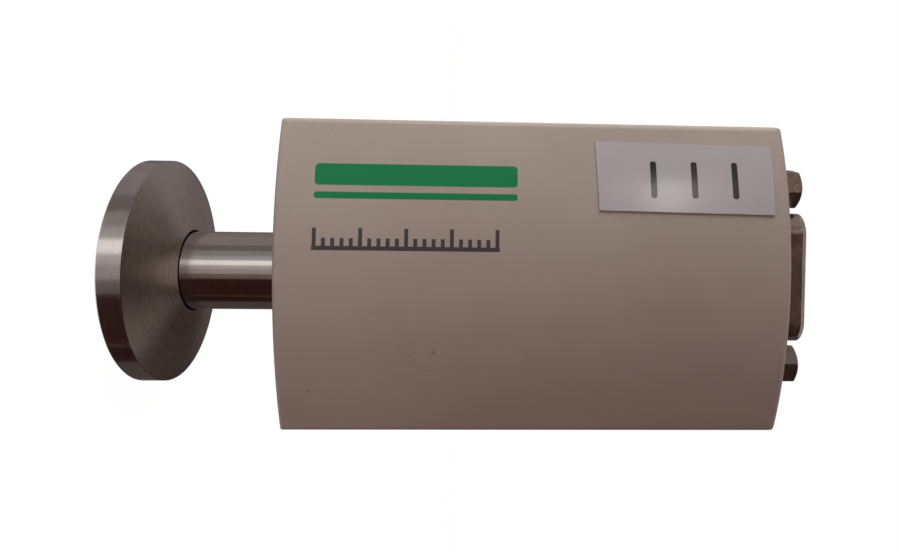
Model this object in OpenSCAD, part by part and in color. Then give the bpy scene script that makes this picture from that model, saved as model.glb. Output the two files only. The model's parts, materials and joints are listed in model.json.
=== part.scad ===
// Vacuum gauge with a small clamp flange and a nine-way connector.
// The gas port is a turned flange on a thin sensor tube. Behind it a moulded
// case, bulged on both broad faces, holds the circuit board and the connector.
// The origin is the middle of the sealing face and +Z runs to the connector.
// The broad front face, with the tape label, looks along -Y.

/* [Port flange] */
// Outside diameter of the clamp flange
flange_d = 30; // [28:0.5:36]
// Thickness of the flange rim
rim_t = 3; // [2.4:0.1:4]
// Angle of the clamp cone behind the rim, in degrees
cone_angle = 15; // [12:1:18]
// Diameter of the recess that takes the centring ring
recess_d = 17.2; // [14:0.1:20]
// Depth of that recess
recess_h = 3; // [2:0.1:3.4]
// Gap between the flange's back bore and the tube
bore_gap = 0.23; // [0.1:0.01:0.4]
// Height of the close-fitting land where the tube is welded in
weld_land_h = 0.8; // [0.5:0.1:1.2]
// Small bevel on the edges of the rim
rim_bevel = 0.2; // [0.1:0.05:0.4]

/* [Sensor tube] */
// Outside diameter of the sensor tube
tube_d = 10.7; // [10:0.1:12]
// Wall of the sensor tube
tube_wall = 0.7; // [0.5:0.05:1]
// Radius of the rounded shoulder
shoulder_r = 0.9; // [0.8:0.1:1.2]
// Diameter of the collar between the shoulder and the base plate
collar_d = 9; // [8.6:0.1:9.2]
// Height of that collar
collar_h = 0.3; // [0.2:0.1:1]
// Diameter of the threaded neck that passes through the base plate
neck_d = 7.8; // [7.2:0.1:8]
// Bore of the neck
neck_bore_d = 6.4; // [6:0.1:6.6]
// Length of the neck above the base plate
neck_len = 7; // [6:0.1:9]

/* [Sensor parts] */
// Thickness of the perforated inlet screen
screen_t = 0.4; // [0.3:0.05:0.8]
// Diameter of each hole in the inlet screen
screen_hole_d = 0.9; // [0.6:0.05:1]
// Distance between the rings of holes in the inlet screen
screen_pitch = 1.35; // [1.2:0.05:1.45]
// Thickness of the header disc that closes the neck
header_t = 1.6; // [1.2:0.1:2]
// Diameter of the feedthrough pins
pin_d = 0.8; // [0.6:0.05:1]
// Distance between the two feedthrough pins
pin_pitch = 3.2; // [3:0.1:3.4]
// Outside diameter of the glass seals
glass_d = 1.8; // [1.6:0.1:2]
// Height of the pins above the header disc
pin_out = 3; // [2:0.1:4]
// Diameter of the coiled filament
filament_d = 0.3; // [0.2:0.05:0.4]
// Diameter of the filament's tension spring
spring_d = 1.2; // [1:0.1:1.4]
// Wire of the tension spring
spring_wire_d = 0.25; // [0.2:0.01:0.3]

/* [Case] */
// Distance from the sealing face to the case
case_z = 19; // [18.6:0.1:24]
// Length of the case
case_len = 66; // [62:0.1:80]
// Width of the case across its broad faces
case_w = 40.8; // [39:0.1:46]
// Depth of the case at the top of its bulged faces
case_depth = 21.5; // [20.5:0.1:26]
// Width of the flat narrow sides
side_w = 13.3; // [12.5:0.1:15]
// Wall of the case
case_wall = 1.8; // [1.5:0.1:2]
// Thickness of the wall at the connector end
end_wall = 2.4; // [2.4:0.1:3]
// Thickness left of that wall in front of the connector's flange
panel_t = 1.4; // [1:0.1:1.4]
// Radius of the corners between faces and sides
corner_r = 1.3; // [1:0.1:2]
// Radius of the edge round the open end
mouth_edge_r = 0.75; // [0.4:0.05:1]
// Radius of the edge round the connector end
end_edge_r = 1.3; // [0.8:0.1:1.6]

/* [Base plate] */
// Thickness of the base plate
plate_t = 2; // [1.5:0.1:3]
// Thickness of the lip left round the base plate
lip_t = 1; // [0.8:0.1:1.2]
// Distance that the base plate lies inside the mouth of the case
plate_inset = 0.2; // [0:0.05:0.6]
// Thread diameter of the base plate screws
base_screw_d = 2.5; // [2:0.1:2.6]
// Head diameter of the base plate screws
base_head_d = 4.4; // [4:0.1:4.8]
// Length of the base plate screws inside the case
base_screw_len = 5.5; // [4:0.1:6.5]
// Wall of the screw bosses
boss_wall = 1; // [0.8:0.1:1.2]

/* [Board] */
// Thickness of the circuit board
board_t = 1.6; // [1.2:0.1:1.8]
// Depth of the guide rails
rail_h = 1.8; // [1.4:0.1:2.2]
// Thickness of the guide rails
rail_t = 1; // [0.8:0.1:1.2]
// Width of the slot that clears the sensor head
slot_w = 13; // [12.6:0.1:15]
// Depth of that slot above the top of the feedthrough pins
slot_clear = 2; // [1:0.1:3]

/* [Connector] */
// Distance from the middle of a jack hole to the end of the connector's flange
conn_ear = 2.91; // [2.6:0.01:3.2]
// Width of the connector's mounting flange
conn_flange_w = 12.5; // [12:0.1:13]
// Thickness of the drawn sheet of both shells
conn_sheet = 0.5; // [0.4:0.05:0.6]
// Inside length of the front shell
shell_l = 16.92; // [16.6:0.01:17.2]
// Inside width of the front shell
shell_w = 8.36; // [8.2:0.01:8.6]
// Distance that the front shell stands above its flange
shell_out = 5.84; // [5.5:0.01:6.2]
// Inside length of the rear shell
rear_l = 18.3; // [18:0.1:18.6]
// Inside width of the rear shell
rear_w = 9.7; // [9.5:0.1:9.9]
// Depth of the rear shell behind the flange
rear_h = 4; // [3.6:0.1:4.4]
// Corner radius inside the front shell
shell_corner_r = 2.6; // [1.8:0.1:3]
// Slope of the short sides, in degrees
shell_slope = 10; // [8:1:12]
// Distance between neighbouring contacts in a row
contact_pitch = 2.77; // [2.7:0.01:2.8]
// Distance between the two rows of contacts
row_pitch = 2.84; // [2.8:0.01:3]
// Diameter of the contact pins
contact_d = 1; // [0.8:0.05:1]
// Distance from a pin's tip to the rim of the shell
contact_under = 0.5; // [0.3:0.1:0.8]
// Length of the pin tails along the board
contact_tail = 3.8; // [3:0.1:5]

/* [Jack sockets] */
// Distance from the side of the shell's inside to the middle of a jack socket
jack_off = 4.035; // [3.9:0.005:4.2]
// Width across the flats of the jack sockets
jack_af = 5; // [4.6:0.01:5.2]
// Height of the jack sockets
jack_h = 4.7; // [4.6:0.1:5.6]
// Diameter of the tapped hole in the jack sockets
jack_bore_d = 2.4; // [2.2:0.05:2.6]
// Diameter of the jack sockets' threaded studs
jack_stud_d = 2.8; // [2.6:0.05:2.9]
// Thickness of the washers under the jack sockets
jack_washer_t = 0.3; // [0.2:0.05:0.6]
// Height of the nuts behind the end wall
jack_nut_h = 2; // [1.6:0.1:2.4]

/* [Tape label] */
// Length of the tape label
tape_l = 23.1; // [15:0.1:26]
// Width of the tape label
tape_w = 9; // [6:0.5:12]
// Thickness of the tape label
tape_t = 0.15; // [0.1:0.01:0.2]
// Distance from the tape's middle to the case's centre line
tape_off = 13.25; // [11:0.05:13.5]
// Distance from the tape to the connector end
tape_gap = 2.4; // [1.6:0.1:6]
// Angle at which the tape was stuck on, in degrees
tape_tilt = 0.8; // [0:0.1:2]
// How far the inner end of the tape is cut off square
tape_skew = 0.45; // [0:0.05:0.8]

/* [Hidden] */
$fn = 96;

// One overrun serves all cuts
cut = 1;
// Clearance between pieces that are pushed together
fit = 0.03;
// Clearance round pieces that drop into a recess or a hole
loose = 0.15;
// How far a corner round runs past the sides it blends into, so that they cross cleanly
blend = 0.004;
// Number of faces on a hexagon
hex_n = 6;
// Angle of the bevel on a hexagon's corners
hex_bevel_angle = 30;

// Port flange and tube
tube_r = tube_d / 2;
hub_z = rim_t + (flange_d / 2 - tube_r - bore_gap) * tan(cone_angle);
tube_inner_r = tube_r - tube_wall;
plate_z = case_z + plate_inset;
collar_z = plate_z - collar_h;
shoulder_run = sqrt(pow(shoulder_r, 2) - pow(shoulder_r - tube_r + collar_d / 2, 2));
shoulder_z = collar_z - shoulder_run;
plate_top = plate_z + plate_t;
neck_top = plate_top + neck_len;
// Ledge in the tube under the inlet screen
screen_step = 0.35;
screen_z = recess_h + weld_land_h;
// Step in the neck under the header disc
header_step = 0.3;
header_z = neck_top - header_t;
pin_top = neck_top + pin_out;
// Height of the cross arms that hold the filament's two ends
lower_arm_z = screen_z + screen_t + filament_d * 8;
upper_arm_z = header_z - header_t;
spring_turns = 8;
// Step of the close-wound turns, which just join
spring_step = spring_wire_d * 0.95;
spring_len = (spring_turns - 1) * spring_step + spring_wire_d;
// Washer and nut on the neck
washer_t = 0.5;
washer_rim = 2;
washer_d = neck_d + 2 * washer_rim;
nut_h = 2.5;
nut_af = 11;
nut_bevel = 0.3;

// Case
case_end = case_z + case_len;
sag = (case_depth - side_w) / 2;
face_r = (pow(case_w / 2, 2) + pow(sag, 2)) / (2 * sag);
face_c = face_r - case_depth / 2;
cavity_end = case_end - end_wall;
inner_corner_r = 0.6;
cavity_hw = case_w / 2 - case_wall;
// Screw bosses, one on each side of the board
boss_r = base_screw_d / 2 + boss_wall;
boss_x = cavity_hw - boss_r;
boss_y = board_t / 2 + boss_r + 2 * rail_t / 3 + loose;
boss_h = base_screw_len + boss_wall;
base_head_h = (base_head_d - base_screw_d) / 2;
// Cross recess of the screws, as a share of the head
cross_share = 0.6;

// Board
board_z = neck_top - header_t;
board_hw = cavity_hw - loose;
conn_face = case_end - panel_t;
tail_z = conn_face - 2 * conn_sheet - rear_h - 0.7 * conn_sheet;
board_top = tail_z - fit;
board_len = board_top - board_z;
slot_top = pin_top + slot_clear;
board_face = board_t / 2;
rail_z = plate_top;
rail_top = board_top;

// Holes and notches in the board, as shares of its half width and its length
board_hole_share = [0.6, 0.62];
// Notch round a jack socket's nut, as a share of the width across its flats
notch_share = 1.5;
// Sizes of the parts on the board and their places, as shares of the board
opamp_l = 8.7;
opamp_w = 3.9;
opamp_h = 1.5;
opamp_legs = 7;
opamp_share = [0, 0.5];
reg_l = 6.6;
reg_w = 6;
reg_h = 2.3;
reg_tab = 1.1;
reg_share = [0.48, 0.5];
cap_d = 6.3;
cap_h = 5.6;
cap_shares = [[-0.6, 0.8], [0.05, 0.8]];
pot_l = 9.5;
pot_w = 4.8;
pot_h = 5;
pot_shares = [[0.2, 0.74], [0.62, 0.74]];
res_l = 6.4;
res_d = 2.4;
res_lead_d = 0.6;
res_share = [-0.55, 0.34];
res_step_share = 0.1;
lead_d = 0.7;
lead_rise = 0.6;

// Connector
jack_pitch = shell_l + 2 * jack_off;
conn_flange_l = jack_pitch + 2 * conn_ear;
front_z = conn_face - conn_sheet;
rear_z = front_z - conn_sheet;
conn_corner_r = 2;
jack_hole_d = jack_stud_d + 2 * loose;
jack_washer_d = jack_af + conn_sheet;
jack_base = case_end + jack_washer_t;
jack_bevel = 0.35;
jack_nut_z = rear_z - jack_nut_h;
jack_stud_end = jack_nut_z - jack_washer_t;
jack_angles = [42, 22];
// Contacts in the long front row
front_contacts = 5;

// A ring round the Z axis
module ring(outer_d, inner_d, h) {
    difference() {
        cylinder(d = outer_d, h = h);
        translate([0, 0, -cut]) cylinder(d = inner_d, h = h + 2 * cut);
    }
}

// A hexagonal block with bevelled corners at its upper end
module hex_block(af, h, bevel) {
    corner_r = af / 2 / cos(180 / hex_n);
    outer = corner_r + loose;
    intersection() {
        cylinder(r = corner_r, h = h, $fn = hex_n);
        rotate_extrude() polygon([
            [0, 0],
            [outer, 0],
            [outer, h - (outer - af / 2 + bevel) * tan(hex_bevel_angle)],
            [af / 2 - bevel, h],
            [0, h]
        ]);
    }
}

// A straight round rod between two points
module rod(a, b, d) {
    v = b - a;
    len = norm(v);
    translate(a) rotate([0, acos(v[2] / len), atan2(v[1], v[0])]) cylinder(d = d, h = len);
}

// A wire through a list of points, with round elbows
module wire(points, d) {
    for (i = [0:len(points) - 2]) rod(points[i], points[i + 1], d);
    for (i = [1:len(points) - 2]) translate(points[i]) sphere(d = d);
}

// A rectangle in the board's plane with round corners, from its middle
module plate_outline(l, w, r) {
    square([l, w - 2 * r], center = true);
    square([l - 2 * r, w], center = true);
    for (sx = [-1, 1], sy = [-1, 1]) translate([sx * (l / 2 - r), sy * (w / 2 - r)]) circle(r = r);
}

// Port flange: rim, clamp cone, recess and the bore that takes the tube
module kf_flange() {
    r = flange_d / 2;
    color("silver") rotate_extrude($fn = 180) polygon([
        [recess_d / 2, 0],
        [r - rim_bevel, 0],
        [r, rim_bevel],
        [r, rim_t],
        [tube_r + bore_gap, hub_z],
        [tube_r + bore_gap, recess_h + weld_land_h],
        [tube_r + fit, recess_h + weld_land_h],
        [tube_r + fit, recess_h],
        [recess_d / 2, recess_h]
    ]);
}

// Outline of the tube with its rounded shoulder, before it is bored
module tube_outline() {
    translate([0, recess_h]) {
        square([tube_r, shoulder_z - recess_h]);
        square([collar_d / 2, plate_z - recess_h]);
        square([neck_d / 2, neck_top - recess_h]);
    }
    intersection() {
        translate([tube_r - shoulder_r, shoulder_z]) circle(r = shoulder_r);
        translate([0, recess_h]) square([tube_r, collar_z - recess_h]);
    }
}

// Bore of the tube, with the ledges for the screen and the header disc
module tube_bore() {
    polygon([
        [0, recess_h - cut],
        [tube_inner_r, recess_h - cut],
        [tube_inner_r, screen_z + screen_t],
        [tube_inner_r - screen_step, screen_z + screen_t],
        [tube_inner_r - screen_step, shoulder_z],
        [neck_bore_d / 2, shoulder_z + shoulder_run / 2],
        [neck_bore_d / 2, header_z],
        [neck_bore_d / 2 + header_step, header_z],
        [neck_bore_d / 2 + header_step, neck_top + cut],
        [0, neck_top + cut]
    ]);
}

// Tube that carries the filament and ties the flange to the case
module sensor_tube() {
    color("silver") rotate_extrude() difference() {
        tube_outline();
        tube_bore();
    }
}

// Perforated disc that keeps dust off the filament
module inlet_screen() {
    color("gray") translate([0, 0, screen_z]) difference() {
        cylinder(r = tube_inner_r - fit, h = screen_t);
        translate([0, 0, -cut]) {
            cylinder(d = screen_hole_d, h = screen_t + 2 * cut, $fn = 24);
            for (k = [1:2], i = [0:hex_n * k - 1]) rotate([0, 0, i * 360 / (hex_n * k)])
                translate([k * screen_pitch, 0, 0])
                    cylinder(d = screen_hole_d, h = screen_t + 2 * cut, $fn = 24);
        }
    }
}

// Coiled filament on the tube's axis, drawn as the outside of its coil
module filament() {
    start = lower_arm_z + pin_d / 2 + fit;
    color("dimgray") translate([0, 0, start])
        cylinder(d = filament_d, h = upper_arm_z - pin_d / 2 - spring_len - 2 * fit - start, $fn = 24);
}

// Tension spring between the filament and the upper arm
module filament_spring() {
    base = upper_arm_z - pin_d / 2 - fit - spring_len + spring_wire_d / 2;
    color("goldenrod") for (i = [0:spring_turns - 1]) translate([0, 0, base + i * spring_step])
        rotate_extrude($fn = 32) translate([(spring_d - spring_wire_d) / 2, 0])
            circle(d = spring_wire_d, $fn = 16);
}

// Pin through the header disc, bent to the axis where it holds the filament
module feedthrough_pin(side, arm_z) {
    x = side * pin_pitch / 2;
    color("darkgray") wire([[x, 0, pin_top], [x, 0, arm_z], [-side * pin_d / 2, 0, arm_z]], pin_d, $fn = 24);
}

// Glass ring that seals a pin in the header disc
module glass_seal(side) {
    color("seagreen") translate([side * pin_pitch / 2, 0, header_z])
        ring(glass_d, pin_d + 2 * fit, header_t, $fn = 32);
}

// Metal disc that closes the neck of the tube
module header_disc() {
    color("silver") translate([0, 0, header_z]) difference() {
        cylinder(r = neck_bore_d / 2 + header_step - fit, h = header_t);
        for (side = [-1, 1]) translate([side * pin_pitch / 2, 0, -cut])
            cylinder(d = glass_d + 2 * fit, h = header_t + 2 * cut, $fn = 32);
    }
}

// Washer between the base plate and the nut
module tube_washer() {
    color("silver") translate([0, 0, plate_top]) ring(washer_d, neck_d + 2 * loose, washer_t);
}

// Thin nut that holds the tube to the base plate
module tube_nut() {
    color("silver") translate([0, 0, plate_top + washer_t]) difference() {
        hex_block(nut_af, nut_h, nut_bevel);
        translate([0, 0, -cut]) cylinder(d = neck_d + 2 * fit, h = nut_h + 2 * cut);
    }
}

// Cuts one corner of the case outline to a round
module corner_cut(sx, sy, inset, r) {
    hw = case_w / 2 - inset;
    fr = face_r - inset;
    cx = hw - r;
    cy = sqrt(pow(fr - r, 2) - cx * cx) - face_c;
    nx = cx / (fr - r);
    ny = (cy + face_c) / (fr - r);
    difference() {
        polygon([
            [sx * cx, sy * cy],
            [sx * (hw + cut), sy * cy],
            [sx * (hw + cut), sy * (cy + r + cut)],
            [sx * (cx + nx * (r + cut)), sy * (cy + ny * (r + cut))]
        ]);
        translate([sx * cx, sy * cy]) circle(r = r + blend);
    }
}

// Outline of the case: two bulged faces, two flat sides and four round corners
module case_profile(inset, r) {
    difference() {
        intersection() {
            translate([0, face_c]) circle(r = face_r - inset, $fn = 360);
            translate([0, -face_c]) circle(r = face_r - inset, $fn = 360);
            square([case_w - 2 * inset, case_depth + cut], center = true);
        }
        for (sx = [-1, 1], sy = [-1, 1]) corner_cut(sx, sy, inset, r);
    }
}

// Half section whose outer edge is rounded at the mouth and at the connector end
module edge_section(half) {
    difference() {
        square([half, case_len]);
        difference() {
            translate([half - mouth_edge_r, -cut]) square([mouth_edge_r + cut, mouth_edge_r + cut]);
            translate([half - mouth_edge_r, mouth_edge_r]) circle(r = mouth_edge_r, $fn = 48);
        }
        difference() {
            translate([half - end_edge_r, case_len - end_edge_r]) square(end_edge_r + cut);
            translate([half - end_edge_r, case_len - end_edge_r]) circle(r = end_edge_r, $fn = 48);
        }
    }
}

// Solid outer form of the case
module case_block() {
    difference() {
        intersection() {
            face_slice(1);
            face_slice(-1);
            rotate([90, 0, 0]) linear_extrude(case_depth + cut, center = true) {
                edge_section(case_w / 2);
                mirror([1, 0]) edge_section(case_w / 2);
            }
        }
        for (sx = [-1, 1], sy = [-1, 1]) translate([0, 0, -cut])
            linear_extrude(case_len + 2 * cut) corner_cut(sx, sy, 0, corner_r);
    }
}

// Round slice that gives one bulged face and its rounded edges
module face_slice(side) {
    translate([0, -side * face_c, 0]) rotate_extrude($fn = 360) edge_section(face_r);
}

// Outline of the connector's body, wide along the front, from its middle
module d_outline(l, w, r) {
    wide_x = l / 2 - r;
    narrow_x = wide_x - (w - 2 * r) * tan(shell_slope);
    y = w / 2 - r;
    nx = r * cos(shell_slope);
    ny = r * sin(shell_slope);
    polygon([
        [-wide_x, -y - r],
        [wide_x, -y - r],
        [wide_x + nx, -y + ny],
        [narrow_x + nx, y + ny],
        [narrow_x, y + r],
        [-narrow_x, y + r],
        [-narrow_x - nx, y + ny],
        [-wide_x - nx, -y + ny]
    ]);
    for (side = [-1, 1]) {
        translate([side * wide_x, -y]) circle(r = r + blend, $fn = 48);
        translate([side * narrow_x, y]) circle(r = r + blend, $fn = 48);
    }
}

// Outline of one of the connector's parts, grown by a margin
module d_grown(l, w, grow) {
    d_outline(l + 2 * grow, w + 2 * grow, shell_corner_r + grow);
}

// Pair of rails inside a narrow side that guide the board's edge
module rails(side) {
    root = rail_h + case_wall / 2;
    for (face = [-1, 1]) {
        x = side * (cavity_hw + case_wall / 2 - root / 2);
        y = face * (board_face + loose + rail_t / 2);
        translate([x, y, (rail_z + rail_top) / 2])
            cube([root, rail_t, rail_top - rail_z], center = true);
    }
}

// Boss for a base plate screw, webbed to the narrow side
module boss(side) {
    translate([side * boss_x, side * boss_y, plate_top]) {
        cylinder(r = boss_r, h = boss_h, $fn = 48);
        translate([side > 0 ? 0 : -boss_r - case_wall / 2, -boss_wall / 2, 0])
            cube([boss_r + case_wall / 2, boss_wall, boss_h]);
    }
}

// Moulded case, open at the port end and closed at the connector end
module case() {
    color("antiquewhite") difference() {
        union() {
            difference() {
                translate([0, 0, case_z]) case_block();
                translate([0, 0, case_z - cut]) linear_extrude(cavity_end - case_z + cut)
                    case_profile(case_wall, inner_corner_r);
                translate([0, 0, case_z - cut]) linear_extrude(plate_inset + plate_t + cut)
                    case_profile(lip_t, inner_corner_r);
            }
            for (side = [-1, 1]) {
                rails(side);
                boss(side);
            }
        }
        for (side = [-1, 1]) {
            translate([side * boss_x, side * boss_y, plate_top - cut])
                cylinder(d = base_screw_d + 2 * fit, h = base_screw_len + cut, $fn = 32);
            translate([side * jack_pitch / 2, 0, cavity_end - cut])
                cylinder(d = jack_hole_d, h = end_wall + 2 * cut, $fn = 32);
        }
        translate([0, 0, cavity_end - cut]) linear_extrude(conn_face - cavity_end + cut)
            plate_outline(conn_flange_l + 2 * loose, conn_flange_w + 2 * loose, conn_corner_r + loose);
        translate([0, 0, cavity_end - cut]) linear_extrude(end_wall + 2 * cut)
            d_grown(shell_l, shell_w, conn_sheet + loose);
    }
}

// Plate that closes the mouth of the case and carries the tube
module base_plate() {
    color("silver") translate([0, 0, plate_z]) difference() {
        linear_extrude(plate_t) case_profile(lip_t + loose, inner_corner_r);
        translate([0, 0, -cut]) cylinder(d = neck_d + 2 * loose, h = plate_t + 2 * cut);
        for (side = [-1, 1]) translate([side * boss_x, side * boss_y, 0]) {
            translate([0, 0, -cut]) cylinder(d = base_screw_d + 2 * fit, h = plate_t + 2 * cut, $fn = 32);
            cylinder(d1 = base_head_d + 2 * fit, d2 = base_screw_d + 2 * fit, h = base_head_h, $fn = 48);
        }
    }
}

// Countersunk screw through the base plate into a boss
module base_screw(side) {
    slot_width = base_head_d / 6;
    color("gainsboro") translate([side * boss_x, side * boss_y, plate_z]) difference() {
        rotate_extrude($fn = 48) polygon([
            [0, 0],
            [base_head_d / 2, 0],
            [base_screw_d / 2, base_head_h],
            [base_screw_d / 2, plate_t + base_screw_len - boss_wall / 2],
            [0, plate_t + base_screw_len - boss_wall / 2]
        ]);
        for (a = [0, 90]) rotate([0, 0, a])
            cube([base_head_d * cross_share, slot_width, base_head_h], center = true);
    }
}

// Circuit board, slotted round the sensor head and narrowed past the bosses
module main_board() {
    notch_w = jack_af * notch_share;
    color("darkgreen") translate([0, board_face, 0]) rotate([90, 0, 0]) linear_extrude(board_t)
        difference() {
            translate([-board_hw, board_z]) square([2 * board_hw, board_len]);
            translate([-slot_w / 2, board_z - cut]) square([slot_w, slot_top - board_z + cut]);
            for (side = [-1, 1]) {
                translate([side * jack_pitch / 2 - notch_w / 2, jack_stud_end - jack_washer_t])
                    square([notch_w, board_top]);
                translate([side * board_hw * board_hole_share[0], board_z + board_len * board_hole_share[1]])
                    circle(d = jack_hole_d, $fn = 32);
            }
        }
}

// Puts a part on a face of the board, front -1 or back 1, at shares of its size
module on_board(place, face) {
    translate([place[0] * board_hw, face * board_face, board_z + place[1] * board_len])
        rotate([face < 0 ? 90 : -90, 0, 0]) children();
}

// Flat chip with a row of bent legs on each side
module chip(l, w, h, legs) {
    leg_w = l / legs / 3;
    foot = w / 5;
    lift = h / 12;
    translate([-l / 2, -w / 2, lift]) cube([l, w, h]);
    for (i = [0:legs - 1], s = [-1, 1]) {
        x = (i - (legs - 1) / 2) * l / legs;
        translate([x - leg_w / 2, s > 0 ? w / 2 - lift : -w / 2 - foot + lift, h / 2])
            cube([leg_w, foot, 2 * lift]);
        translate([x - leg_w / 2, s > 0 ? w / 2 + foot - 3 * lift : -w / 2 - foot + lift, 0])
            cube([leg_w, 2 * lift, h / 2 + lift]);
        translate([x - leg_w / 2, s > 0 ? w / 2 + foot - 3 * lift : -w / 2 - 2 * foot + 3 * lift, 0])
            cube([leg_w, foot, 2 * lift]);
    }
}

// Amplifier that balances the bridge
module op_amp() {
    color("black") on_board(opamp_share, -1) chip(opamp_l, opamp_w, opamp_h, opamp_legs);
}

// Voltage regulator with its soldered tab
module regulator() {
    tab_t = reg_h / 4;
    leg = reg_l / 7;
    color("black") on_board(reg_share, 1) {
        translate([-reg_l / 2, -reg_w / 2, 0]) cube([reg_l, reg_w, reg_h]);
        translate([-reg_l / 2 + leg, reg_w / 2 - leg, 0]) cube([reg_l - 2 * leg, reg_tab + leg, tab_t]);
        for (s = [-1, 1]) translate([s * reg_l / 3 - leg / 2, -reg_w / 2 - 2 * leg, 0])
            cube([leg, 3 * leg, tab_t]);
    }
}

// Can capacitor on its square base
module filter_capacitor(i) {
    base_t = cap_h / 6;
    groove = cap_d / 24;
    color("silver") on_board(cap_shares[i - 1], 1) {
        translate([0, 0, base_t / 2]) cube([cap_d + groove, cap_d + groove, base_t], center = true);
        rotate_extrude($fn = 48) difference() {
            square([cap_d / 2, cap_h]);
            translate([cap_d / 2, cap_h / 3]) circle(r = groove, $fn = 24);
        }
    }
}

// Trimmer with its adjusting screw
module trim_pot(i) {
    screw_d = pot_w / 2;
    screw_h = pot_w / 3;
    color("royalblue") on_board(pot_shares[i - 1], -1) difference() {
        union() {
            translate([-pot_w / 2, -pot_l / 2, 0]) cube([pot_w, pot_l, pot_h]);
            translate([0, pot_l / 2 - cut, pot_h / 2]) rotate([-90, 0, 0])
                cylinder(d = screw_d, h = screw_h + cut, $fn = 32);
        }
        translate([0, pot_l / 2 + screw_h, pot_h / 2])
            cube([screw_d / 5, screw_h, screw_d + cut], center = true);
    }
}

// Precision resistor of the bridge, lying on leads bent down to the board
module bridge_resistor(i) {
    reach = res_l / 2 + 2 * res_lead_d;
    z = res_d / 2 + fit;
    color("tan") on_board([res_share[0], res_share[1] + (i - 1) * res_step_share], -1) {
        translate([0, 0, z]) rotate([0, 90, 0]) rotate_extrude($fn = 32) {
            translate([0, -res_l / 2 + res_d / 2]) square([res_d * 0.44, res_l - res_d]);
            for (s = [-1, 1]) intersection() {
                translate([0, s * (res_l / 2 - res_d / 2)]) circle(d = res_d, $fn = 48);
                translate([0, -res_l / 2]) square([res_d, res_l]);
            }
        }
        for (s = [-1, 1]) wire([[s * (res_l / 2 - res_d / 3), 0, z], [s * reach, 0, z], [s * reach, 0, 0]],
            res_lead_d, $fn = 16);
    }
}

// Wire from a feedthrough pin to its pad beside the slot
module sensor_lead(side) {
    x = side * pin_pitch / 2;
    y = -board_face - lead_d / 2;
    color("indianred") wire([
        [x, 0, pin_top + fit],
        [x, 0, pin_top + lead_rise],
        [x, y, slot_top - lead_d],
        [x, y, slot_top + 2 * lead_rise]
    ], lead_d, $fn = 24);
}

// Front shell of the connector: flange and the open shell round the pins
module connector_shell() {
    color("silver") translate([0, 0, front_z]) difference() {
        union() {
            linear_extrude(conn_sheet) plate_outline(conn_flange_l, conn_flange_w, conn_corner_r);
            linear_extrude(conn_sheet + shell_out) d_grown(shell_l, shell_w, conn_sheet);
        }
        translate([0, 0, -cut]) linear_extrude(conn_sheet + shell_out + 2 * cut) d_grown(shell_l, shell_w, 0);
        for (side = [-1, 1]) translate([side * jack_pitch / 2, 0, -cut])
            cylinder(d = jack_hole_d, h = conn_sheet + 2 * cut, $fn = 32);
    }
}

// Rear shell of the connector: flange and the drawn cup round the insulator
module connector_rear_shell() {
    color("gainsboro") translate([0, 0, rear_z]) difference() {
        union() {
            linear_extrude(conn_sheet) plate_outline(conn_flange_l, conn_flange_w, conn_corner_r);
            translate([0, 0, -rear_h]) linear_extrude(rear_h + conn_sheet)
                d_grown(rear_l, rear_w, conn_sheet);
        }
        translate([0, 0, -rear_h - cut]) linear_extrude(rear_h + conn_sheet + 2 * cut)
            d_grown(rear_l, rear_w, 0);
        for (side = [-1, 1]) translate([side * jack_pitch / 2, 0, -cut])
            cylinder(d = jack_hole_d, h = conn_sheet + 2 * cut, $fn = 32);
    }
}

// Place of a contact: five in the wide front row and four behind
function contact_x(i) = i <= front_contacts
    ? (i - (front_contacts + 1) / 2) * contact_pitch
    : (i - front_contacts - front_contacts / 2) * contact_pitch;
function contact_y(i) = (i <= front_contacts ? -1 : 1) * row_pitch / 2;

// Moulded insulator that carries the nine contacts
module connector_insulator() {
    color("black") difference() {
        union() {
            translate([0, 0, rear_z]) linear_extrude(2 * conn_sheet + conn_sheet / 2)
                d_grown(shell_l, shell_w, -loose);
            translate([0, 0, tail_z]) linear_extrude(front_z - fit - tail_z)
                d_grown(rear_l, rear_w, -loose);
        }
        for (i = [1:9]) translate([contact_x(i), contact_y(i), tail_z - cut])
            cylinder(d = contact_d + 2 * fit, h = case_end - tail_z + 2 * cut, $fn = 24);
    }
}

// Contact pin with a round tip and a straight tail beside the board
module contact_pin(i) {
    top = conn_face + shell_out - contact_under - contact_d / 2;
    color("gold") translate([contact_x(i), contact_y(i), tail_z - contact_tail]) {
        cylinder(d = contact_d, h = top - tail_z + contact_tail, $fn = 24);
        translate([0, 0, top - tail_z + contact_tail]) sphere(d = contact_d, $fn = 24);
    }
}

// Hexagonal socket that takes the plug's locking screw
module jack_socket(k) {
    side = k == 1 ? -1 : 1;
    color("silver") translate([side * jack_pitch / 2, 0, 0]) difference() {
        union() {
            translate([0, 0, jack_base]) rotate([0, 0, jack_angles[k - 1]])
                hex_block(jack_af, jack_h, jack_bevel);
            translate([0, 0, jack_stud_end])
                cylinder(d = jack_stud_d, h = jack_base - jack_stud_end + cut, $fn = 32);
        }
        translate([0, 0, jack_base + cut / 2]) cylinder(d = jack_bore_d, h = jack_h + cut, $fn = 48);
    }
}

// Washer under a jack socket
module jack_washer(side) {
    color("silver") translate([side * jack_pitch / 2, 0, case_end])
        ring(jack_washer_d, jack_hole_d, jack_washer_t, $fn = 48);
}

// Nut on the stud of a jack socket, behind the end wall
module jack_nut(side) {
    color("silver") translate([side * jack_pitch / 2, 0, jack_nut_z]) difference() {
        translate([0, 0, jack_nut_h]) mirror([0, 0, 1]) hex_block(jack_af, jack_nut_h, jack_bevel);
        translate([0, 0, -cut]) cylinder(d = jack_stud_d + 2 * fit, h = jack_nut_h + 2 * cut, $fn = 32);
    }
}

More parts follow.
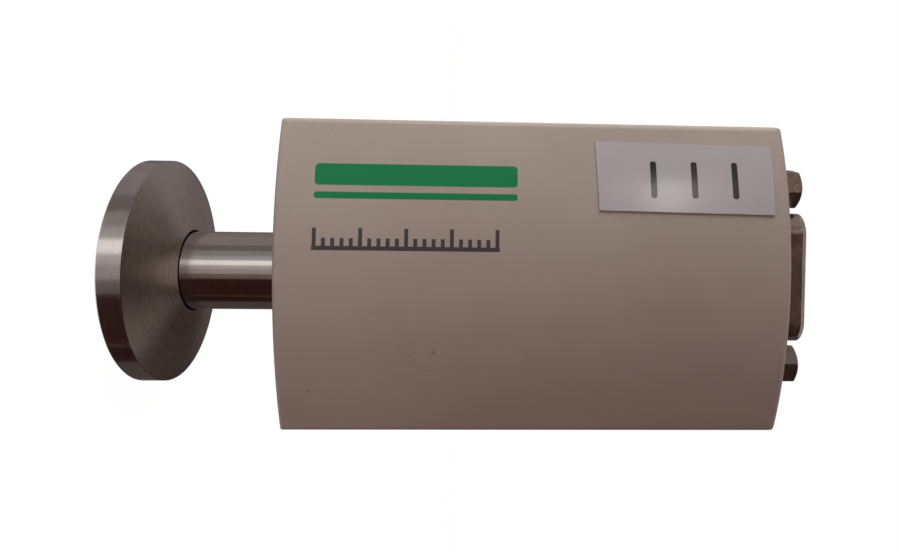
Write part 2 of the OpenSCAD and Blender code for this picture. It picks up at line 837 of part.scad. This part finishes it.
// Outline of the tape, cut by hand with one end off square
module tape_outline() {
    polygon([
        [-tape_w / 2, -tape_l / 2],
        [tape_w / 2, -tape_l / 2 + tape_skew],
        [tape_w / 2, tape_l / 2],
        [-tape_w / 2, tape_l / 2]
    ]);
}

// Strip of label tape that follows the bulge of the front face
module tape_label() {
    color("whitesmoke") intersection() {
        translate([0, face_c, case_z]) difference() {
            cylinder(r = face_r + fit + tape_t, h = case_len, $fn = 360);
            translate([0, 0, -cut]) cylinder(r = face_r + fit, h = case_len + 2 * cut, $fn = 360);
        }
        translate([-tape_off, 0, case_end - tape_gap - tape_l / 2]) rotate([0, tape_tilt, 0])
            rotate([90, 0, 0]) linear_extrude(case_depth / 2) tape_outline();
    }
}

kf_flange();
sensor_tube();
inlet_screen();
filament();
filament_spring();
feedthrough_pin(1, lower_arm_z);  // feedthrough_pin_1
feedthrough_pin(-1, upper_arm_z);  // feedthrough_pin_2
glass_seal(1);  // glass_seal_1
glass_seal(-1);  // glass_seal_2
header_disc();
tube_washer();
tube_nut();
base_plate();
base_screw(-1);  // base_screw_1
base_screw(1);  // base_screw_2
case();
main_board();
op_amp();
regulator();
filter_capacitor(1);  // filter_capacitor_1
filter_capacitor(2);  // filter_capacitor_2
trim_pot(1);  // trim_pot_1
trim_pot(2);  // trim_pot_2
bridge_resistor(1);  // bridge_resistor_1
bridge_resistor(2);  // bridge_resistor_2
bridge_resistor(3);  // bridge_resistor_3
sensor_lead(1);  // sensor_lead_1
sensor_lead(-1);  // sensor_lead_2
connector_shell();
connector_rear_shell();
connector_insulator();
for (i = [1:9]) contact_pin(i);
jack_socket(1);  // jack_socket_1
jack_socket(2);  // jack_socket_2
jack_washer(-1);  // jack_washer_1
jack_washer(1);  // jack_washer_2
jack_nut(-1);  // jack_nut_1
jack_nut(1);  // jack_nut_2
tape_label();
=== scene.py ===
import json
import math

import bmesh
import bpy
from mathutils import Matrix, Vector

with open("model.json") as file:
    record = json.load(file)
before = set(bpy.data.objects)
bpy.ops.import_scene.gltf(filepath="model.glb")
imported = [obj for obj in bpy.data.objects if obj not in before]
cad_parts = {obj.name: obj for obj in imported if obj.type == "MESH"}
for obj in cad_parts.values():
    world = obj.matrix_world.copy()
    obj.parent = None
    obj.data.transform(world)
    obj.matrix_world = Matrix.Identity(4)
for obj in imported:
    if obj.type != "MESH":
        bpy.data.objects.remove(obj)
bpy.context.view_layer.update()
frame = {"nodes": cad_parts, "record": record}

nodes = frame["nodes"]
MM = 0.001

# Camera, from a fit to the photograph with its centre kept near the middle of the frame, so
# that the other views hold the whole gauge. Places are in millimetres in the row frame.
IMAGE_W, IMAGE_H = 900, 553
FOCAL_PX = 674.6
CENTRE_PX = (499.4, 236.0)
CAMERA_MM = Vector((-7.530, -94.983, 43.709))
CAMERA_LOOK = Vector((0.02404, 0.99884, 0.04169))
CAMERA_UP = Vector((-0.99962, 0.02459, -0.01277))
SENSOR_MM = 36
CLIP_START = 0.005

# Print on the front face of the case, in millimetres: places across the face, then along it
PRINT_BAR = ((-14.35, 24.0), (-9.95, 49.5))
BROAD_BAR, BROAD_ROUND = 2.7, 0.5
NARROW_BAR, NARROW_ROUND = 0.8, 0.35
PRINT_SCALE = ((-6.9, 24.2), (-3.5, 47.0))
SCALE_STEPS, LONG_EVERY = 20, 5
SHORT_TICK, LONG_TICK = 1.5, 2.75
TICK_EDGE = (0.19, 0.24)  # shares of a step, from a tick's middle
SCALE_LINE = 0.5
STROKES_FROM = (66.6, 71.9, 77.2)
STROKE_ACROSS = (-15.3, -10.6)
STROKE_W, STROKE_ROUND = 0.75, 0.3
PRINT_SOFT = 0.05

# Wear on the front face, in millimetres: each speck is across, along, radius
SCUFF_AT, SCUFF_R, SCUFF_FADE = (9.4, 37.5), 1.2, 6.5
SCUFF_NARROW = 1.6
SCUFF_TURN = (0.85, 0.5)
SPECKS = ((9.4, 39.1, 0.14), (14.6, 23.2, 0.10), (4.4, 31.5, 0.06), (-2.2, 61.0, 0.06))
SPECK_FADE = 1.5

# Height of the port flange's rim, below its cone, and where its finish changes, in millimetres
FLANGE_RIM, RIM_CHANGE = 3.0, 0.05

# Width of the rounded lip on the connector's shell, in millimetres
LIP = 0.45

# Colours as they look in the photograph
IVORY = (150, 136, 127)
IVORY_LOW = (132, 113, 102)
IVORY_GRAIN = (110, 98, 89.5)
SCUFF = (100, 82, 72)
SPECK = (74, 56, 48)
GRIME = (112, 96, 86)
PRINT_GREEN = (20, 106, 66)
PRINT_GREY = (62, 55, 58)
TAPE = (151, 142, 143)
TAPE_LIGHT = (154, 145, 152)
TAPE_INK = (24, 20, 22)
STEEL = (186, 178, 172)
STEEL_STAIN = (70, 56, 48)
NICKEL = (176, 164, 154)
NICKEL_STAIN = (84, 64, 54)
NICKEL_WARM = (120, 96, 84)

# The room that the metal shows: a drum of cards round the gauge, in metres
DRUM_R, DRUM_BOTTOM, DRUM_SPLIT, DRUM_TOP = 0.6, -0.5, 0.03, 0.6
DRUM_STEP_DEG = 5
LID_SIDES = 48

# The cards, as start, end, colour and strength. Angles count from the front towards -X, in
# degrees. The tier below shows in the tube and the flange's rim, and the tier above in the
# connector and the far side of the flange's cone.
ROOM_BELOW = (
    (-145, -125, (84, 76, 75), 1.0),
    (-125, -98, (90, 81, 81), 1.0),
    (-98, -74.6, (54, 33, 31), 1.0),
    (-74.6, -73.4, (128, 104, 98), 1.0),
    (-73.4, -18, (58, 35, 32), 1.0),
    (-18, -4, (130, 115, 112), 1.0),
    (-4, 10, (190, 178, 177), 1.0),
    (10, 21, (216, 208, 209), 1.0),
    (21, 35, (255, 255, 255), 1.45),
    (35, 48, (198, 195, 195), 1.0),
    (48, 65, (166, 162, 161), 1.0),
    (65, 85, (130, 122, 122), 1.0),
    (85, 125, (159, 151, 154), 1.0),
    (125, 150, (146, 138, 139), 1.0),
    (150, 185, (116, 107, 107), 1.0),
    (185, 215, (100, 88, 87), 1.0),
)
ROOM_ABOVE = (
    (-145, -98, (90, 81, 81), 1.0),
    (-98, -20, (62, 47, 45), 1.0),
    (-20, 16, (98, 76, 72), 1.0),
    (16, 50, (149, 134, 132), 1.0),
    (50, 125, (166, 158, 159), 1.0),
    (125, 168, (150, 142, 143), 1.0),
    (168, 185, (122, 113, 113), 1.0),
    (185, 215, (66, 55, 54), 1.0),
)
ROOM_LID = (226, 215, 210)
ROOM_TURN = -1.6


def linear(rgb):
    """The scene-linear RGBA of an 8-bit display colour."""
    parts = [c / 255 for c in rgb]
    return tuple(c / 12.92 if c <= 0.04045 else ((c + 0.055) / 1.055) ** 2.4 for c in parts) + (1,)


def blend(a, b, share):
    """The 8-bit colour that lies the given share of the way from a to b."""
    return tuple(x + (y - x) * share for x, y in zip(a, b))


class Shader:
    """One procedural material, built node by node in the row frame's millimetres."""

    def __init__(self, name):
        self.mat = bpy.data.materials.new(name)
        self.mat.use_nodes = True
        self.tree = self.mat.node_tree
        self.bsdf = self.tree.nodes["Principled BSDF"]
        coords = self.new("ShaderNodeTexCoord")
        scale = self.new("ShaderNodeVectorMath", operation="SCALE")
        self.link(coords.outputs["Object"], scale.inputs[0])
        scale.inputs["Scale"].default_value = 1 / MM
        self.mm = scale.outputs[0]
        split = self.new("ShaderNodeSeparateXYZ")
        self.link(self.mm, split.inputs[0])
        self.x, self.y, self.z = split.outputs

    def new(self, kind, **settings):
        node = self.tree.nodes.new(kind)
        for key, value in settings.items():
            setattr(node, key, value)
        return node

    def link(self, source, target):
        """Joins a socket to the target, or sets the target to a plain value."""
        if hasattr(source, "links"):
            self.tree.links.new(source, target)
        else:
            target.default_value = source

    def math(self, op, a, b=0.0):
        node = self.new("ShaderNodeMath", operation=op)
        for value, socket in zip((a, b), node.inputs):
            self.link(value, socket)
        return node.outputs[0]

    def add(self, a, b):
        return self.math("ADD", a, b)

    def sub(self, a, b):
        return self.math("SUBTRACT", a, b)

    def mul(self, a, b):
        return self.math("MULTIPLY", a, b)

    def larger(self, a, b):
        return self.math("MAXIMUM", a, b)

    def off_step(self, value):
        """How far a value lies from the nearest whole number."""
        return self.math("ABSOLUTE", self.sub(self.math("FRACT", self.add(value, 0.5)), 0.5))

    def length(self, a, b):
        return self.math("SQRT", self.add(self.mul(a, a), self.mul(b, b)))

    def vector(self, x, y, z):
        node = self.new("ShaderNodeCombineXYZ")
        for value, socket in zip((x, y, z), node.inputs):
            self.link(value, socket)
        return node.outputs[0]

    def noise(self, scale, detail=4.0, rough=0.55, vector=None, warp=0.0):
        node = self.new("ShaderNodeTexNoise")
        self.link(self.mm if vector is None else vector, node.inputs["Vector"])
        node.inputs["Scale"].default_value = scale
        node.inputs["Detail"].default_value = detail
        node.inputs["Roughness"].default_value = rough
        node.inputs["Distortion"].default_value = warp
        return node.outputs["Fac"]

    def fit(self, value, low, high, to_low=0.0, to_high=1.0):
        """The value's place between low and high, eased, on the scale from to_low to to_high."""
        node = self.new("ShaderNodeMapRange", interpolation_type="SMOOTHSTEP")
        for socket, v in zip(node.inputs, (value, low, high, to_low, to_high)):
            self.link(v, socket)
        return node.outputs[0]

    def mix(self, share, a, b):
        """The colour that lies the given share of the way from a to b."""
        node = self.new("ShaderNodeMix", data_type="RGBA")
        self.link(share, node.inputs["Factor"])
        sides = [socket for socket in node.inputs if socket.type == "RGBA"]
        for value, socket in zip((a, b), sides):
            self.link(value if hasattr(value, "links") else linear(value), socket)
        return next(socket for socket in node.outputs if socket.type == "RGBA")

    def bump(self, height, depth_mm, strength=1.0, normal=None):
        node = self.new("ShaderNodeBump")
        self.link(height, node.inputs["Height"])
        node.inputs["Distance"].default_value = depth_mm * MM
        node.inputs["Strength"].default_value = strength
        if normal is not None:
            self.link(normal, node.inputs["Normal"])
        return node.outputs[0]

    def set(self, **sockets):
        for key, value in sockets.items():
            self.link(value, self.bsdf.inputs[key.replace("_", " ")])
        return self.mat


def box_mask(s, low, high, round_off=0.0):
    """1 inside a rectangle on the front face, with round corners, and 0 outside."""
    outside = []
    for value, start, end in zip((s.x, s.z), low, high):
        half = (end - start) / 2 - round_off
        away = s.math("ABSOLUTE", s.sub(value, (start + end) / 2))
        outside.append(s.larger(s.sub(away, half), 0.0))
    return s.fit(s.length(*outside), round_off, round_off + PRINT_SOFT, 1.0, 0.0)


def spot_mask(s, a, b, centre, radius, soft):
    """1 at a round spot in two coordinates, fading to 0 at its edge."""
    away = s.length(s.sub(a, centre[0]), s.sub(b, centre[1]))
    return s.fit(away, radius, radius + soft, 1.0, 0.0)


def union(s, masks):
    """The largest of several masks."""
    total = masks[0]
    for mask in masks[1:]:
        total = s.larger(total, mask)
    return total


def scale_print(s):
    """Grey scale of ticks, long ones between short ones, on a thin line."""
    (x0, z0), (x1, z1) = PRINT_SCALE
    pitch = (z1 - z0) / SCALE_STEPS
    phase = s.math("DIVIDE", s.sub(s.z, z0), pitch)
    tick = s.fit(s.off_step(phase), *TICK_EDGE, 1.0, 0.0)
    coarse = s.math("FRACT", s.math("DIVIDE", s.add(phase, 0.5), LONG_EVERY))
    is_long = s.math("LESS_THAN", coarse, 1 / LONG_EVERY)
    length = s.add(s.mul(is_long, LONG_TICK - SHORT_TICK), SHORT_TICK)
    above = s.sub(x1, s.x)
    in_tick = s.mul(s.math("LESS_THAN", above, length), s.math("GREATER_THAN", above, 0.0))
    first, last = z0 - pitch / 4, z1 + pitch / 4
    ends = box_mask(s, (x0, first), (x1, last))
    line = box_mask(s, (x1 - SCALE_LINE, first), (x1, last))
    return s.larger(s.mul(s.mul(tick, in_tick), ends), line)


def bar_print(s):
    """Green bars: a broad one, and a narrow one under it."""
    (x0, z0), (x1, z1) = PRINT_BAR
    broad = box_mask(s, (x0, z0), (x0 + BROAD_BAR, z1), BROAD_ROUND)
    narrow = box_mask(s, (x1 - NARROW_BAR, z0), (x1, z1), NARROW_ROUND)
    return s.larger(broad, narrow)


def scuffed_patch(s):
    """Slanted streaks that fade out round one place on the front."""
    across, along = SCUFF_TURN
    turned = s.sub(s.mul(s.x, across), s.mul(s.z, along))
    ahead = s.add(s.mul(s.z, across), s.mul(s.x, along))
    streaks = s.noise(1.0, 6.0, 0.6, s.vector(s.mul(turned, 2.2), 0.0, s.mul(ahead, 0.35)), 0.6)
    centre = (SCUFF_AT[0] * SCUFF_NARROW, SCUFF_AT[1])
    patch = spot_mask(s, s.mul(s.x, SCUFF_NARROW), s.z, centre, SCUFF_R, SCUFF_FADE)
    return s.mul(s.fit(streaks, 0.52, 0.72), patch)


def ivory_case():
    """Smooth satin ivory housing with its print, a scuffed patch and a few specks."""
    s = Shader("case_ivory")
    front = s.math("LESS_THAN", s.y, 0.0)
    tone = s.fit(s.noise(0.05, 3.0), 0.35, 0.7)
    fine = s.noise(2.2, 5.0)
    colour = s.mix(s.mul(tone, 0.22), IVORY, IVORY_LOW)
    colour = s.mix(s.fit(fine, 0.3, 0.75, 0.0, 0.05), colour, IVORY_GRAIN)

    scuff = s.mul(scuffed_patch(s), front)
    colour = s.mix(s.mul(scuff, 0.3), colour, SCUFF)
    specks = union(s, [spot_mask(s, s.x, s.z, (x, z), r, r * SPECK_FADE) for x, z, r in SPECKS])
    colour = s.mix(s.mul(specks, s.mul(front, 0.4)), colour, SPECK)
    grime = s.mul(s.fit(s.noise(0.6, 6.0, 0.7), 0.62, 0.8), 0.12)
    colour = s.mix(grime, colour, GRIME)

    colour = s.mix(s.mul(bar_print(s), front), colour, PRINT_GREEN)
    colour = s.mix(s.mul(scale_print(s), front), colour, PRINT_GREY)
    rough = s.add(s.fit(fine, 0.3, 0.7, 0.40, 0.48), s.mul(scuff, 0.12))
    skin = s.bump(s.noise(3.0, 3.0), 0.012, 0.35)
    return s.set(Base_Color=colour, Roughness=rough, Normal=skin, Specular_IOR_Level=0.2)


def tape_label():
    """Laminated label tape with three plain strokes and a glossy, slightly wavy face."""
    s = Shader("tape_white")
    colour = s.mix(s.fit(s.noise(0.25, 3.0), 0.3, 0.7, 0.0, 0.3), TAPE, TAPE_LIGHT)
    start, end = STROKE_ACROSS
    strokes = [box_mask(s, (start, z), (end, z + STROKE_W), STROKE_ROUND) for z in STROKES_FROM]
    colour = s.mix(union(s, strokes), colour, TAPE_INK)
    rough = s.fit(s.noise(0.4, 2.0), 0.3, 0.7, 0.3, 0.36)
    wave = s.bump(s.noise(0.25, 1.0), 0.02, 0.4)
    return s.set(Base_Color=colour, Roughness=rough, Normal=wave, Specular_IOR_Level=0.3,
                 Coat_Weight=0.5, Coat_Roughness=0.17)


def turned_steel(name, rough, groove_mm, across=True, stain=0.25, rim_top=None, cone_rough=0.0):
    """Turned stainless steel: fine rings round the axis, a little uneven, with faint stains.
    Above rim_top it is cone_rough rougher."""
    s = Shader(name)
    radius = s.length(s.x, s.y)
    by_radius = s.mul(radius, 1 / groove_mm if across else 0.2)
    rings = s.vector(by_radius, 0.0, s.mul(s.z, 1 / groove_mm))
    lines = s.noise(1.0, 3.0, 0.7, rings)
    broad = s.noise(0.16, 2.0, 0.6, rings)
    cloud = s.noise(0.22, 4.0, 0.6, warp=0.4)
    dark = blend(STEEL, STEEL_STAIN, 0.45)
    tint = s.mix(s.fit(lines, 0.3, 0.7, 0.0, 0.06), STEEL, blend(STEEL, dark, 0.8))
    tint = s.mix(s.mul(s.fit(cloud, 0.45, 0.75), stain), tint, dark)
    roughness = s.add(s.fit(lines, 0.3, 0.7, rough - 0.03, rough + 0.04),
                      s.fit(broad, 0.3, 0.7, -0.02, 0.03))
    if rim_top is not None:
        roughness = s.add(roughness, s.fit(s.z, rim_top, rim_top + RIM_CHANGE, 0.0, cone_rough))
    return s.set(Base_Color=tint, Metallic=1.0, Roughness=roughness,
                 Normal=s.bump(lines, 0.0004, 0.3))


def plated(name, colour, rough, skin_scale=1.2, ripple=0.001, lip_top=None):
    """Plate over drawn or turned metal, with a soft orange skin and a rounded lip at lip_top."""
    s = Shader(name)
    skin = s.noise(skin_scale, 2.0)
    wear = s.fit(s.noise(0.6, 3.0), 0.35, 0.75, 0.0, 0.4)
    tint = s.mix(wear, colour, blend(colour, NICKEL_STAIN, 0.4))
    normal = s.bump(skin, ripple)
    if lip_top is not None:
        normal = s.bump(s.fit(s.z, lip_top - LIP, lip_top, 1.0, 0.0), LIP, normal=normal)
    return s.set(Base_Color=tint, Metallic=1.0, Normal=normal,
                 Roughness=s.fit(skin, 0.3, 0.7, rough - 0.06, rough + 0.06))


def moulded(name, colour, rough, metallic=0.0, grain=2.5):
    """Plain moulded, cast or drawn finish with fine grain and slight changes of tone."""
    s = Shader(name)
    skin = s.noise(grain, 4.0)
    shade = s.fit(s.noise(grain / 4, 3.0), 0.3, 0.7, 0.0, 0.5)
    tint = s.mix(shade, colour, blend(colour, (40, 36, 34), 0.3))
    return s.set(Base_Color=tint, Metallic=metallic, Normal=s.bump(skin, 0.01, 0.4),
                 Roughness=s.fit(skin, 0.3, 0.7, rough - 0.06, rough + 0.08))


def board_green():
    """Solder mask with copper tracks that show through it as paler lines."""
    s = Shader("board_green")
    lane = s.math("ABSOLUTE", s.sub(s.math("FRACT", s.mul(s.x, 0.6)), 0.5))
    gate = s.fit(s.noise(0.35, 1.0), 0.48, 0.52)
    track = s.mul(s.fit(lane, 0.12, 0.16, 1.0, 0.0), gate)
    colour = s.mix(s.mul(track, 0.6), (20, 66, 40), (38, 96, 58))
    return s.set(Base_Color=colour, Roughness=0.32, Normal=s.bump(track, 0.03, 0.6))


def seal_glass():
    """Fused glass bead, slightly cloudy."""
    s = Shader("seal_glass")
    colour = s.mix(s.fit(s.noise(3.0), 0.3, 0.7, 0.0, 0.4), (120, 150, 140), (70, 96, 92))
    return s.set(Base_Color=colour, Roughness=0.12, Transmission_Weight=0.4)


def dress_nodes():
    """Gives each CAD node its finish by the record's material slot."""
    shell_top = max(v.co.z for v in nodes["connector_shell"].data.vertices) / MM
    jack_colour = blend(NICKEL, NICKEL_WARM, 0.4)
    finish = {
        "case_ivory": ivory_case(),
        "tape_white": tape_label(),
        "board_green": board_green(),
        "seal_glass": seal_glass(),
        "flange_steel": turned_steel("flange_steel", 0.15, 0.16, rim_top=FLANGE_RIM, cone_rough=0.13),
        "tube_steel": turned_steel("tube_steel", 0.13, 0.12, across=False, stain=0.15),
        "plain_steel": turned_steel("plain_steel", 0.30, 0.2),
        "connector_nickel": plated("connector_nickel", NICKEL, 0.2, skin_scale=0.7, ripple=0.12,
                                   lip_top=shell_top),
        "jack_nickel": plated("jack_nickel", jack_colour, 0.27),
        "contact_gold": plated("contact_gold", (214, 176, 96), 0.22),
        "filament_wire": moulded("filament_wire", (120, 116, 112), 0.35, metallic=1.0, grain=6.0),
        "pin_alloy": moulded("pin_alloy", (170, 160, 146), 0.3, metallic=1.0, grain=6.0),
        "plate_aluminium": moulded("plate_aluminium", (172, 160, 152), 0.5, metallic=1.0),
        "can_aluminium": moulded("can_aluminium", (196, 196, 196), 0.3, metallic=1.0),
        "chip_black": moulded("chip_black", (34, 33, 33), 0.55),
        "trimmer_blue": moulded("trimmer_blue", (30, 62, 140), 0.4),
        "resistor_body": moulded("resistor_body", (176, 150, 112), 0.4),
        "lead_wire": moulded("lead_wire", (140, 40, 32), 0.5),
        "insulator_black": moulded("insulator_black", (30, 29, 30), 0.5),
    }
    slots = {part["node"]: part["material_slot"] for part in frame["record"]["subparts"]}
    for name, node in nodes.items():
        for slot in node.material_slots:
            slot.material = finish[slots[name]]


def make_camera():
    """Camera at the photograph's place, with the long side of the gauge across the frame."""
    data = bpy.data.cameras.new("camera")
    data.sensor_width = SENSOR_MM
    data.lens = FOCAL_PX * SENSOR_MM / IMAGE_W
    data.shift_x = (IMAGE_W / 2 - CENTRE_PX[0]) / IMAGE_W
    data.shift_y = (CENTRE_PX[1] - IMAGE_H / 2) / IMAGE_W
    data.clip_start = CLIP_START
    camera = bpy.data.objects.new("camera", data)
    bpy.context.scene.collection.objects.link(camera)
    look = CAMERA_LOOK.normalized()
    right = look.cross(CAMERA_UP).normalized()
    up = right.cross(look)
    turn = Matrix((right, up, -look)).transposed()
    camera.matrix_world = Matrix.Translation(CAMERA_MM * MM) @ turn.to_4x4()
    bpy.context.scene.camera = camera


def emission_material(name, colour, strength):
    """A surface that only glows, for cards that show in the metal."""
    mat = bpy.data.materials.new(name)
    mat.use_nodes = True
    tree = mat.node_tree
    tree.nodes.clear()
    glow = tree.nodes.new("ShaderNodeEmission")
    glow.inputs["Color"].default_value = linear(colour)
    glow.inputs["Strength"].default_value = strength
    out = tree.nodes.new("ShaderNodeOutputMaterial")
    tree.links.new(glow.outputs[0], out.inputs["Surface"])
    return mat


def stage_card(name, bm, colour, strength):
    """Places a glowing card that only metal and gloss can see."""
    mesh = bpy.data.meshes.new(name)
    bm.to_mesh(mesh)
    bm.free()
    mesh.materials.append(emission_material(name, colour, strength))
    card = bpy.data.objects.new(name, mesh)
    bpy.context.scene.collection.objects.link(card)
    card.visible_camera = False
    card.visible_shadow = False
    card.visible_diffuse = False


def curved_card(name, start, end, colour, strength, low, high, radius=DRUM_R):
    """Part of the drum, between two angles and two heights."""
    steps = max(2, int(abs(end - start) / DRUM_STEP_DEG))
    bm = bmesh.new()
    pairs = []
    for i in range(steps + 1):
        a = math.radians(start + (end - start) * i / steps)
        x, y = -radius * math.sin(a), -radius * math.cos(a)
        pairs.append([bm.verts.new((x, y, h)) for h in (low, high)])
    for (a, b), (c, d) in zip(pairs, pairs[1:]):
        bm.faces.new((a, b, d, c))
    stage_card(name, bm, colour, strength)


def make_cards():
    """The drum of cards in two tiers with a lid, and a small lamp for the tape's highlight."""
    tiers = (("below", ROOM_BELOW, DRUM_BOTTOM, DRUM_SPLIT),
             ("above", ROOM_ABOVE, DRUM_SPLIT, DRUM_TOP))
    for tier, cards, low, high in tiers:
        for i, (start, end, colour, strength) in enumerate(cards):
            curved_card(f"card_{tier}_{i}", start + ROOM_TURN, end + ROOM_TURN, colour, strength,
                        low, high)
    lid = bmesh.new()
    bmesh.ops.create_circle(lid, cap_ends=True, segments=LID_SIDES, radius=DRUM_R,
                            matrix=Matrix.Translation((0, 0, DRUM_TOP)))
    stage_card("card_lid", lid, ROOM_LID, 1.0)
    curved_card("card_lamp", start=21.5, end=32.0, colour=(255, 250, 246), strength=27.0,
                low=0.226, high=0.246, radius=0.58)


def make_floor(size=3.0, sink=0.00005, grey=0.8, rough=0.9, glow_strength=1.06, glow_share=0.92):
    """Pale floor under the flange, almost white to the camera, with a soft shadow."""
    mesh = bpy.data.meshes.new("floor")
    corners = [(x, y, -sink) for x, y in ((-size, -size), (size, -size), (size, size), (-size, size))]
    mesh.from_pydata(corners, [], [(0, 1, 2, 3)])
    floor = bpy.data.objects.new("floor", mesh)
    bpy.context.scene.collection.objects.link(floor)
    mat = bpy.data.materials.new("floor")
    mat.use_nodes = True
    tree = mat.node_tree
    diffuse = tree.nodes["Principled BSDF"]
    diffuse.inputs["Base Color"].default_value = (grey, grey, grey, 1)
    diffuse.inputs["Roughness"].default_value = rough
    glow = tree.nodes.new("ShaderNodeEmission")
    glow.inputs["Strength"].default_value = glow_strength
    path = tree.nodes.new("ShaderNodeLightPath")
    share = tree.nodes.new("ShaderNodeMath")
    share.operation = "MULTIPLY"
    share.inputs[1].default_value = glow_share
    mix = tree.nodes.new("ShaderNodeMixShader")
    tree.links.new(path.outputs["Is Camera Ray"], share.inputs[0])
    tree.links.new(share.outputs[0], mix.inputs[0])
    tree.links.new(diffuse.outputs[0], mix.inputs[1])
    tree.links.new(glow.outputs[0], mix.inputs[2])
    tree.links.new(mix.outputs[0], tree.nodes["Material Output"].inputs["Surface"])
    mesh.materials.append(mat)
    floor.visible_glossy = False


def make_world(soft_colour=(255, 214, 206), soft_strength=0.30):
    """Even soft light, and white for what the camera, metal and glass see."""
    world = bpy.data.worlds.new("world")
    bpy.context.scene.world = world
    world.use_nodes = True
    tree = world.node_tree
    soft = tree.nodes["Background"]
    soft.inputs["Color"].default_value = linear(soft_colour)
    soft.inputs["Strength"].default_value = soft_strength
    white = tree.nodes.new("ShaderNodeBackground")
    white.inputs["Color"].default_value = (1, 1, 1, 1)
    path = tree.nodes.new("ShaderNodeLightPath")
    seen = path.outputs["Is Camera Ray"]
    for output in ("Is Glossy Ray", "Is Transmission Ray"):
        either = tree.nodes.new("ShaderNodeMath")
        either.operation = "MAXIMUM"
        tree.links.new(seen, either.inputs[0])
        tree.links.new(path.outputs[output], either.inputs[1])
        seen = either.outputs[0]
    mix = tree.nodes.new("ShaderNodeMixShader")
    tree.links.new(seen, mix.inputs[0])
    tree.links.new(soft.outputs[0], mix.inputs[1])
    tree.links.new(white.outputs[0], mix.inputs[2])
    tree.links.new(mix.outputs[0], tree.nodes["World Output"].inputs["Surface"])


def area_light(name, place, target, size, power, colour, spread=180):
    """A soft box at a place in metres, aimed at a target, that metal and gloss don't show."""
    data = bpy.data.lights.new(name, "AREA")
    data.shape = "RECTANGLE"
    data.size, data.size_y = size
    data.energy = power
    data.color = colour
    data.spread = math.radians(spread)
    light = bpy.data.objects.new(name, data)
    bpy.context.scene.collection.objects.link(light)
    light.location = place
    light.rotation_euler = (Vector(target) - Vector(place)).to_track_quat("-Z", "Y").to_euler()
    light.visible_glossy = False
    light.visible_camera = False


def make_lights():
    """Soft light from the long -X side and the back, and a little on the flange's rim."""
    middle = (0, 0, 0.045)
    area_light("key", (-0.73, -0.165, 0.02), middle, size=(0.5, 0.6), power=14.8,
               colour=(0.87, 0.99, 1.0))
    area_light("back_key", (-0.45, 0.50, 0.20), middle, size=(0.5, 0.6), power=5.0,
               colour=(0.95, 0.98, 1.0))
    area_light("port_fill", (0.12, -0.60, 0.075), (0, 0, -0.01), size=(0.06, 0.06), power=0.006,
               colour=(1.0, 0.96, 0.94), spread=16)


bpy.context.scene.view_settings.view_transform = "Standard"
make_camera()
make_world()
make_floor()
make_lights()
make_cards()
dress_nodes()
